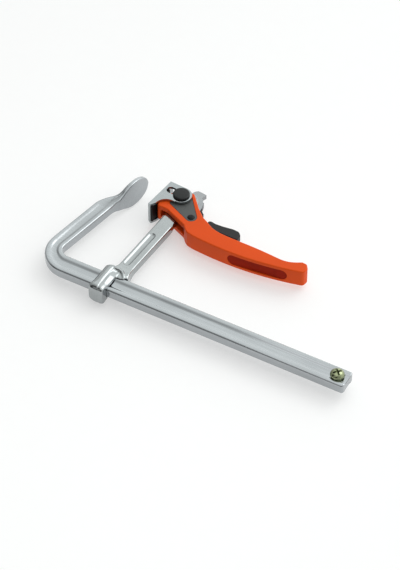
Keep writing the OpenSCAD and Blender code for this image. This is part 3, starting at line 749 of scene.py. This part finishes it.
class CLAMP_OT_sliding_arm(Operator):
    """Build the forged sliding arm: collar, stem with its hollows, and the eye"""
    bl_idname = "clamp.sliding_arm"
    bl_label = "Sliding arm"

    def execute(self, context):
        sizes = context.scene.clamp_slider
        body = forging()
        apply(body, "REMESH", mode="VOXEL", voxel_size=sizes.soft, adaptivity=0.0)
        apply(body, "SMOOTH", factor=0.5, iterations=6)
        for side in (1, -1):
            cut(body, hollow(side, sizes.hollow / MM))
        mouth = [(-12, 1.4), (-9.4, 0.8), (-8.4, 0), (8.4, 0), (30, 0)]
        cut(body, skin("mouth", COLLAR, [box_ring(MOUTH_WIDE + wider, MOUTH_HIGH + wider, 0.6, x)
                                         for x, wider in mouth]))
        cut(body, slab("step", COLLAR, beyond_head(), -20, 20))
        weld(body, slab("tongue", COLLAR, tongue_plan(), -TONGUE_HALF, TONGUE_HALF))
        bore(body, PIN, BUSH_BORE, 48)
        sector = arc((0, 0), SLOT_R, SLOT_TO, SLOT_FROM, 20) + arc((0, 0), 40, SLOT_FROM, SLOT_TO, 20)
        cut(body, slab("sector", PIN, sector, -SLOT_HALF, SLOT_HALF))
        for angle in RIVET_ANGLES:
            bore(body, PIN + Vector((*turn(angle, (RIVETS_R, 0)), 0)) * MM, RIVET_HOLE, 20)
        steel = finish("plated forged steel", sizes.colour, metallic=1.0, rough=(0.09, 0.17), tone=0.08,
                       blotch=60, grain=500, bump=0.08, depth=0.04)
        finish_piece(body, "arm_body", ["sliding_arm"], steel, 38, False)
        return {"FINISHED"}


class CLAMP_OT_ratchet(Operator):
    """Build the ratchet sector from its plate"""
    bl_idname = "clamp.ratchet"
    bl_label = "Ratchet sector"

    def execute(self, context):
        sizes = context.scene.clamp_slider
        piece = cad_copy("ratchet_sector", "ratchet_plate")
        break_edges(piece, 0.25, 40)
        bright = finish("bright ratchet steel", sizes.ratchet, metallic=1.0, rough=(0.14, 0.24), tone=0.06,
                        blotch=120, grain=1400, stretch=(1, 1, 0.2), bump=0.15)
        finish_piece(piece, "arm_body", ["ratchet_sector"], bright)
        dress("ratchet_rivets", bright)
        return {"FINISHED"}


# ---- Jaw and main pin ----

class CLAMP_OT_jaw(Operator):
    """Build the channel jaw of bent sheet"""
    bl_idname = "clamp.jaw"
    bl_label = "Jaw"

    def execute(self, context):
        sizes = context.scene.clamp_jaw
        piece = cad_copy("jaw", "jaw_channel")
        break_edges(piece, sizes.edge / MM, 40, 3)
        sheet = finish("plated sheet", sizes.colour, metallic=1.0, rough=(0.12, 0.20), tone=0.05, blotch=90,
                       grain=900, stretch=(1.0, 0.12, 1.0), turn_z=-JAW_TURN, bump=0.08, depth=0.03)
        finish_piece(piece, "jaw_body", ["jaw"], sheet)
        liner = finish("black wear liner", sizes.liner, rough=(0.45, 0.6), tone=0.2, blotch=90, grain=1500,
                       bump=0.3, specular=0.15)
        dress("jaw_liner", liner)
        return {"FINISHED"}


class CLAMP_OT_pin(Operator):
    """Build the black caps of the main pin"""
    bl_idname = "clamp.pin"
    bl_label = "Main pin and caps"

    def execute(self, context):
        sizes = context.scene.clamp_jaw
        black = finish("grained black", sizes.cap, rough=(0.34, 0.5), tone=0.25, blotch=120, grain=1300,
                       bump=0.5, depth=0.08, specular=0.3)
        profile = [(9.2, 15.02), (9.65, 15.2), (9.8, 15.6), (9.8, 16.5), (9.6, 17.0), (8.9, 17.55),
                   (8.1, 17.8), (4.0, 17.95), (1.0, 17.99)]
        for side, name in ((1, "top"), (-1, "bottom")):
            piece = turned("pivot_cap_" + name, PIN, [(r, z * side) for r, z in profile], 56)
            cut(piece, turned("socket", PIN, [(2.99, 14.0 * side), (2.99, 16.4 * side)], 24))
            finish_piece(piece, "pin_body", ["pin_cap_" + name], black, 30)
        dress("main_pin", finish("dark pin steel", sizes.pin, metallic=1.0, rough=(0.25, 0.4), blotch=150,
                                 grain=1500))
        bronze = finish("bearing bronze", sizes.bronze, metallic=1.0, rough=(0.3, 0.45), tone=0.12,
                        blotch=150)
        for node in ("pivot_bush", "thrust_washers"):
            dress(node, bronze)
        return {"FINISHED"}


# ---- Handle ----

# Counted from the main pin, in millimetres: the arc of the grip's near side
NEAR_R = 365.0
NEAR_C = (85.0, NEAR_R - 51.2)
# Cam's reach ahead of the pin at rest, and how far it moves ahead for each radian of turn
CAM_REACH, CAM_LEAD = 17.51, 16.5
# Half thicknesses of the head, of the fork's room, of the plates' seat and of the plates' outer faces
HEAD_HALF, FORK_HALF, SEAT_HALF, PLATE_HALF = 11.2, 5.3, 9.4, 11.0
# Holes for the main pin and the small rivet
PIN_BORE, RIVET_BORE = 6.05, 3.05
# Side plate: its two round ends and the small end's place
PLATE_BIG, PLATE_SMALL, PLATE_SPOT = 12.0, 6.5, (26.3, -23.5)
# Red strip: middle, half length, half height and depth of its recess
INLAY_X, INLAY_REACH, INLAY_HALF, INLAY_DEPTH = 125.0, 36.0, 7.0, 1.5
# Room between the cheeks
FORK = [(-13.4, -80), (28.2, -80), (28.2, -46), (25.4, -37), (24, -33), (46, -32.5), (88, -38), (92, -36),
        (92, 10), (60, 60), (-60, 60), (-60, -4.5), (-13.4, -9)]


def near_y(x, radius=NEAR_R):
    """Plan height of the grip's near side, or of an arc inside or outside it."""
    return NEAR_C[1] - math.sqrt(radius ** 2 - (x - NEAR_C[0]) ** 2)


def jaw_xy(ahead, along):
    """A plan point given ahead of the pin and along the jaw's face."""
    return turn(-JAW_TURN, (-ahead, along))


def handle_outline():
    """Plan of the handle, counted from the main pin: cam, nose, rail side, grip end, back, round head."""
    cam = []
    for k in range(int((OPEN + CLOSE) / 2) + 1):
        a = -OPEN + 2 * k
        cam.append(turn(a, jaw_xy(CAM_REACH + CAM_LEAD * math.radians(a), -CAM_LEAD)))
    flat = turn(-OPEN, jaw_xy(CAM_REACH - CAM_LEAD * math.radians(OPEN), -4))
    nose = cam[-1]
    back = curve([(170.5, -24.4), (165, -27.2), (159, -32.6), (146, -32.2)], 14)[1:]
    back += curve([(146, -32.2), (125, -30.4), (112, -29.8), (100, -29.8)], 6)
    back += curve([(100, -29.8), (80, -29.6), (66, -30.6), (53.9, -25.2)], 12)
    return rounded(
        [(*p, 0) for p in arc((0, 0), 13.0, 92, 172, 14)]
        + [(*flat, 3), (*cam[0], 4)] + [(*p, 0) for p in cam[3:-1]]
        + [(nose[0] + 0.55, nose[1] - 3.25, 2.5), (-5, -24.75, 6), (*HEAD_NEAR[1], 3), (29.8, -43.6, 3),
           (34.1, -46.9, 4), (41, near_y(41), 0)]
        + [(x, near_y(x), 0) for x in range(46, 173, 6)]
        + [(174, near_y(174), 0), (179.4, near_y(179.4), 5.5), (180.8, -31, 5), (176.3, -24.8, 3.5),
           (170.5, -24.4, 0)]
        + [(*p, 0) for p in back]
        + [(53.9, -25.2, 0), (46, -20.4, 0), (38, -16.2, 6), (27, -6.4, 12), (10.4, 12.2, 3.2)], 6)


def plate_plan(gap):
    """Plan of the side plate, or of its seat when grown by a gap."""
    big, small = PLATE_BIG + gap, PLATE_SMALL + gap
    reach = math.hypot(*PLATE_SPOT)
    far = math.degrees(math.atan2(PLATE_SPOT[1], PLATE_SPOT[0]) + math.acos((big - small) / reach))
    return (arc((0, 0), big, far, 200, 22) + [(-6.4 - gap, -15.2 - gap)]
            + arc(PLATE_SPOT, small, 243, 360 + far, 22))


def inlay_ring(grow, depth):
    """The strip's rounded outline, laid at a depth below the grip's near side."""
    half, reach = INLAY_HALF + grow, INLAY_REACH + grow
    flat = arc((reach - half, 0), half, -90, 90, 12) + arc((half - reach, 0), half, 90, 270, 12)
    return [(INLAY_X + u, near_y(INLAY_X + u, NEAR_R - depth), z) for u, z in flat]


class CLAMP_OT_handle(Operator):
    """Build the moulded lever handle with its forked head, plate seats and inlay recess"""
    bl_idname = "clamp.handle"
    bl_label = "Handle"

    def execute(self, context):
        sizes = context.scene.clamp_handle
        rim = sizes.rim / MM
        piece = slab("lever_handle", PIN, handle_outline(), -HEAD_HALF, HEAD_HALF, rim, rim, 4)
        slice_along(piece, (1, 0, 0), [PIN + Vector((x * MM, 0, 0)) for x in range(30, 67, 4)])
        for vertex in piece.data.vertices:
            t = smoothstep(((vertex.co.x - PIN.x) / MM - 32) / 30)
            vertex.co.z = PIN.z + (vertex.co.z - PIN.z) * (1 + (sizes.thin - 1) * t)
        cut(piece, slab("fork", PIN, FORK, -FORK_HALF, FORK_HALF))
        for low, high in ((SEAT_HALF, 20), (-20, -SEAT_HALF)):
            cut(piece, slab("seat", PIN, plate_plan(0.4), low, high))
        bore(piece, PIN, PIN_BORE, 48)
        bore(piece, RIVET, RIVET_BORE)
        cut(piece, skin("strip", PIN, [inlay_ring(0.05, INLAY_DEPTH + 0.05), inlay_ring(0.05, -3)]))
        break_edges(piece, 0.35, 50, 2)
        orange = finish("moulded orange", sizes.colour, rough=(0.36, 0.46), tone=0.05, blotch=30, grain=1600,
                        bump=0.25, depth=0.04, specular=0.12)
        finish_piece(piece, "handle_body_group", ["handle_body"], orange, 35)
        layers = ((-0.1, INLAY_DEPTH), (0, 1.3), (0, 0.9), (-0.25, 0.45), (-0.9, 0.3))
        inlay = skin("soft_strip", PIN, [inlay_ring(grow, depth) for grow, depth in layers])
        soft = finish("soft red grip", sizes.inlay, rough=(0.5, 0.65), tone=0.15, blotch=60, grain=1800,
                      bump=0.4, depth=0.06, specular=0.06)
        finish_piece(inlay, "handle_body_group", ["grip_inlay"], soft)
        return {"FINISHED"}


class CLAMP_OT_plates(Operator):
    """Build the grey side plates and the small rivet through them"""
    bl_idname = "clamp.plates"
    bl_label = "Side plates and rivet"

    def execute(self, context):
        sizes = context.scene.clamp_handle
        grey = finish("matt grey plate", sizes.plate, metallic=0.55, rough=(0.5, 0.62), tone=0.08, blotch=90,
                      grain=1600, bump=0.25, depth=0.04)
        for name, low, high, rims in (("top", SEAT_HALF, PLATE_HALF, (0, 0.35)),
                                      ("bottom", -PLATE_HALF, -SEAT_HALF, (0.35, 0))):
            plate = slab("cover_plate_" + name, PIN, plate_plan(0), low, high, *rims, 3)
            bore(plate, PIN, PIN_BORE, 40)
            bore(plate, RIVET, RIVET_BORE)
            finish_piece(plate, "handle_body_group", ["side_plate_" + name], grey)
        dome = [(1.0, 12.52), (2.2, 12.42), (3.2, 12.15), (3.95, 11.75), (4.3, 11.4), (4.35, 11.15),
                (4.3, 11.03), (3.0, 11.02)]
        rivet = turned("pivot_rivet", RIVET, dome + [(r, -z) for r, z in reversed(dome)], 40)
        sheen = finish("black rivet", context.scene.clamp_jaw.cap, rough=(0.25, 0.38), tone=0.2, blotch=150,
                       grain=1300, bump=0.3, specular=0.15)
        finish_piece(rivet, "handle_body_group", ["lever_pin"], sheen)
        dress("lever_spring", finish("drawn wire", sizes.wire, metallic=1.0, rough=(0.25, 0.35), tone=0.08,
                                     blotch=200, grain=2000))
        return {"FINISHED"}


# Half thickness of the moulded trigger
TRIGGER_HALF = 4.7


class CLAMP_OT_trigger(Operator):
    """Build the release blade and its moulded trigger"""
    bl_idname = "clamp.trigger"
    bl_label = "Release lever and trigger"

    def execute(self, context):
        sizes = context.scene.clamp_trigger
        blade = cad_copy("release_lever", "pawl_blade")
        break_edges(blade, 0.25, 40)
        steel = finish("black blade steel", sizes.blade, metallic=0.6, rough=(0.35, 0.5), tone=0.15,
                       blotch=150, grain=1500, bump=0.15)
        finish_piece(blade, "trigger_body", ["release_lever"], steel)
        plan = [(43.0, -17.5, 2), (43.2, -12.6, 2.0), (46.3, -11.3, 2.4), (52, -12.4, 6), (62, -12.0, 12),
                (74, -10.2, 12), (82, -10.8, 5), (86.4, -15.5, 4), (86.2, -23.6, 2.2), (82, -24.6, 4),
                (60, -24.2, 4), (46, -21.6, 3)]
        rim = sizes.rim / MM
        grip = slab("trigger_grip", PIN, rounded(plan), -TRIGGER_HALF, TRIGGER_HALF, rim, rim, 5)
        moulded = finish("moulded black", sizes.colour, rough=(0.38, 0.5), tone=0.2, grain=1500, bump=0.35,
                         specular=0.3)
        finish_piece(grip, "trigger_body", ["thumb_pad"], moulded)
        return {"FINISHED"}


# ---- Stage ----

def area_light(name, at, toward, size, power):
    """Hang a white rectangular light and turn it towards a point."""
    lamp = bpy.data.lights.new(name, "AREA")
    lamp.shape = "RECTANGLE"
    lamp.size, lamp.size_y = size
    lamp.energy = power
    obj = bpy.data.objects.new(name, lamp)
    bpy.context.scene.collection.objects.link(obj)
    obj.location = at
    obj.rotation_euler = (Vector(toward) - Vector(at)).to_track_quat("-Z", "Y").to_euler()


# Studio walls as (direction, reach from, reach to, brightness stops): the room, its dark corner, its low side
SKY = (
    ((0.30, 0.90, 0.25), -1.0, 1.0, ((0.0, 0.30), (0.5, 0.42), (0.68, 0.62), (0.82, 0.86), (1.0, 1.0))),
    ((-0.34, -0.84, 0.42), 0.60, 1.0, ((0.0, 1.0), (0.25, 0.65), (0.5, 0.18), (0.7, 0.07), (1.0, 0.06))),
    ((-0.83, 0.21, -0.52), 0.45, 0.75, ((0.0, 1.0), (0.5, 0.6), (1.0, 0.25))),
)
# Wall tint, as shares of the brightness, and the upper light's share of the key light
SKY_TINT = (1.0, 1.01, 1.005)
UPPER_SHARE = 0.22
# Floor's edge length and its height just below the rail, in metres
FLOOR_SIZE, FLOOR_Z = 12, -0.0004
# Camera: lens and sensor width in millimetres, place in metres, tilt and turn in degrees
LENS, SENSOR = 152.75, 36
CAMERA_AT = (0.92670, -1.67880, 1.92670)
CAMERA_TILT, CAMERA_TURN = 44.87, 29.712


class CLAMP_OT_stage(Operator):
    """Set up the floor, the soft lights and the camera"""
    bl_idname = "clamp.stage"
    bl_label = "Stage"

    def execute(self, context):
        sizes = context.scene.clamp_stage
        scene = context.scene
        deselect()
        bpy.ops.mesh.primitive_plane_add(size=FLOOR_SIZE, location=(0, 0, FLOOR_Z))
        floor = bpy.context.object
        floor.name = floor.data.name = "studio_floor"
        bpy.ops.object.transform_apply(location=True, rotation=True, scale=True)
        pale = finish("lit floor", sizes.floor, rough=(0.85, 0.95), tone=0.01, blotch=3, grain=60,
                      bump=0.02, specular=0.1)
        table_light = pale.node_tree.nodes["Principled BSDF"].inputs
        table_light["Emission Color"].default_value = (1, 1, 1, 1)
        table_light["Emission Strength"].default_value = sizes.table
        floor.data.materials.append(pale)
        world = bpy.data.worlds.new("studio")
        scene.world = world
        world.use_nodes = True
        tree = world.node_tree
        place = tree.nodes.new("ShaderNodeTexCoord").outputs["Generated"]
        shades = []
        for toward, low, high, stops in SKY:
            toward = Vector(toward).normalized()
            lean = add(tree, "ShaderNodeVectorMath", {0: place, 1: toward}, "DOT_PRODUCT").outputs["Value"]
            reach = add(tree, "ShaderNodeMapRange", {"Value": lean, "From Min": low, "From Max": high})
            ramp = add(tree, "ShaderNodeValToRGB", {"Fac": reach.outputs["Result"]})
            elements = ramp.color_ramp.elements
            elements[0].position, elements[1].position = 0.0, 1.0
            for stop in (elements[0], elements[1], *(elements.new(at) for at, _ in stops[1:-1])):
                value = dict(stops)[round(stop.position, 3)]
                stop.color = (*[value * share for share in SKY_TINT], 1)
            shades.append(ramp.outputs["Color"])
        walls = shades[0]
        for shade in shades[1:]:
            walls = add(tree, "ShaderNodeVectorMath", {0: walls, 1: shade}, "MULTIPLY").outputs["Vector"]
        back = tree.nodes["Background"].inputs
        tree.links.new(walls, back["Color"])
        back["Strength"].default_value = sizes.sky
        area_light("rear_softbox", (0.50, 0.95, 1.25), (0, 0, 0), (1.1, 0.8), sizes.key)
        area_light("upper_softbox", (0.08, -0.40, 0.75), (0.08, -0.40, 0), (0.5, 1.1),
                   sizes.key * UPPER_SHARE)
        scene.view_settings.view_transform = "Standard"
        scene.view_settings.look = "None"
        lens = bpy.data.cameras.new("view")
        lens.lens = LENS
        lens.sensor_width = SENSOR
        lens.clip_end = 50
        camera = bpy.data.objects.new("view", lens)
        scene.collection.objects.link(camera)
        camera.location = CAMERA_AT
        camera.rotation_euler = (math.radians(CAMERA_TILT), 0, math.radians(CAMERA_TURN))
        scene.camera = camera
        return {"FINISHED"}


# ---- Add-on ----

class CLAMP_PT_panel(Panel):
    bl_idname = "CLAMP_PT_panel"
    bl_label = "Bar clamp"
    bl_space_type = "VIEW_3D"
    bl_region_type = "UI"
    bl_category = "Clamp"

    def draw(self, context):
        for group, operators in GROUPS:
            box = self.layout.box()
            settings = getattr(context.scene, group)
            for key in settings.__annotations__:
                box.prop(settings, key)
            for operator in operators:
                box.operator(operator.bl_idname)


GROUPS = (
    ("clamp_rail", (CLAMP_OT_rail, CLAMP_OT_stop_screw)),
    ("clamp_slider", (CLAMP_OT_sliding_arm, CLAMP_OT_ratchet)),
    ("clamp_jaw", (CLAMP_OT_jaw, CLAMP_OT_pin)),
    ("clamp_handle", (CLAMP_OT_handle, CLAMP_OT_plates)),
    ("clamp_trigger", (CLAMP_OT_trigger,)),
    ("clamp_stage", (CLAMP_OT_stage,)),
)
SETTINGS = {"clamp_rail": ClampRailSettings, "clamp_slider": ClampSliderSettings,
            "clamp_jaw": ClampJawSettings, "clamp_handle": ClampHandleSettings,
            "clamp_trigger": ClampTriggerSettings, "clamp_stage": ClampStageSettings}
OPERATORS = [operator for _, operators in GROUPS for operator in operators]


def register():
    for name, settings in SETTINGS.items():
        bpy.utils.register_class(settings)
        setattr(bpy.types.Scene, name, PointerProperty(type=settings))
    for operator in OPERATORS:
        bpy.utils.register_class(operator)
    bpy.utils.register_class(CLAMP_PT_panel)


def unregister():
    bpy.utils.unregister_class(CLAMP_PT_panel)
    for operator in reversed(OPERATORS):
        bpy.utils.unregister_class(operator)
    for name, settings in SETTINGS.items():
        delattr(bpy.types.Scene, name)
        bpy.utils.unregister_class(settings)


def main():
    register()
    for operator in OPERATORS:
        group, action = operator.bl_idname.split(".")
        getattr(getattr(bpy.ops, group), action)()


if __name__ == "__main__":
    main()
